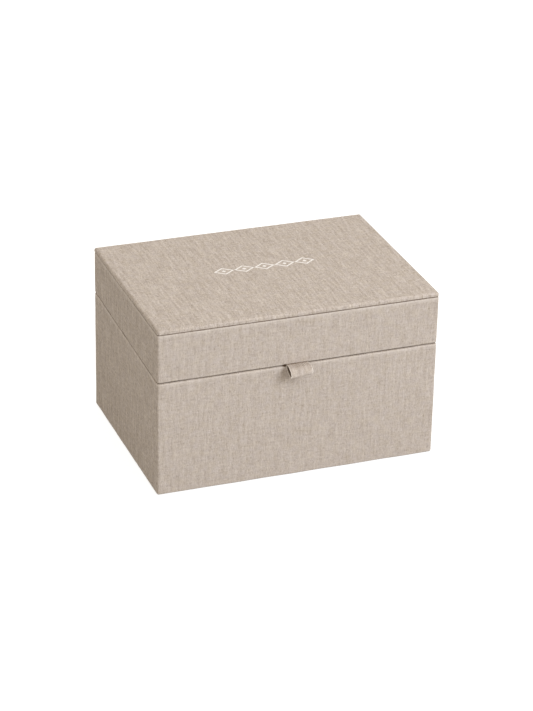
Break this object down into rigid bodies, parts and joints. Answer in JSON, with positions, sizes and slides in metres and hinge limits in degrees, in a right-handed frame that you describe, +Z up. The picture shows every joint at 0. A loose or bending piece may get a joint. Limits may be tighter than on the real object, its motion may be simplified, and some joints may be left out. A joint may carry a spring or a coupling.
{
  "type": "index card box",
  "caption": "Cloth-covered card box with a hinged lid, an inner neck that locates the lid, and a folded cloth pull tab at the front.",
  "frame": {"origin": "centre of the underside, on the plane the box rests on", "axes": "+X to the right seen from the front, +Y from the front to the hinge at the back, +Z up"},
  "size_m": [0.19, 0.1466, 0.116],
  "materials": {
    "linen": "matt natural linen bookcloth",
    "greyboard": "matt, unbleached",
    "lining_paper": "matt, warm white",
    "underside_paper": "matt"
  },
  "bodies": {
    "base": {"underside_sheet": "underside_paper", "underside_infill": "greyboard", "floor_board": "greyboard", "base_front_board": "greyboard", "base_back_board": "greyboard", "base_left_board": "greyboard", "base_right_board": "greyboard", "base_cloth": "linen", "neck_front_board": "greyboard", "neck_back_board": "greyboard", "neck_left_board": "greyboard", "neck_right_board": "greyboard", "base_lining": "lining_paper", "floor_lining": "lining_paper", "back_cloth_base": "linen", "back_cloth_hinge": "linen"},
    "lid": {"lid_front_board": "greyboard", "lid_back_board": "greyboard", "lid_left_board": "greyboard", "lid_right_board": "greyboard", "lid_cloth": "linen", "lid_lining": "lining_paper", "lid_top_lining": "lining_paper", "top_board": "greyboard", "top_cloth": "linen", "back_cloth_lid": "linen", "tab_tail": "linen"},
    "tab": {"pull_tab": "linen"}
  },
  "joints": [
    {"name": "lid_hinge", "type": "hinge", "parent": "base", "child": "lid", "pos_m": [0, 0.068, 0.0842], "axis": [-1, 0, 0], "range_deg": [0, 175], "deforming": ["back_cloth_hinge"]},
    {"name": "tab_flex", "type": "hinge", "parent": "lid", "child": "tab", "pos_m": [-0.0013, -0.0685, 0.08025], "axis": [-1, 0, 0], "range_deg": [-30, 70], "stiffness_Nm_per_rad": 0.0003}
  ]
}
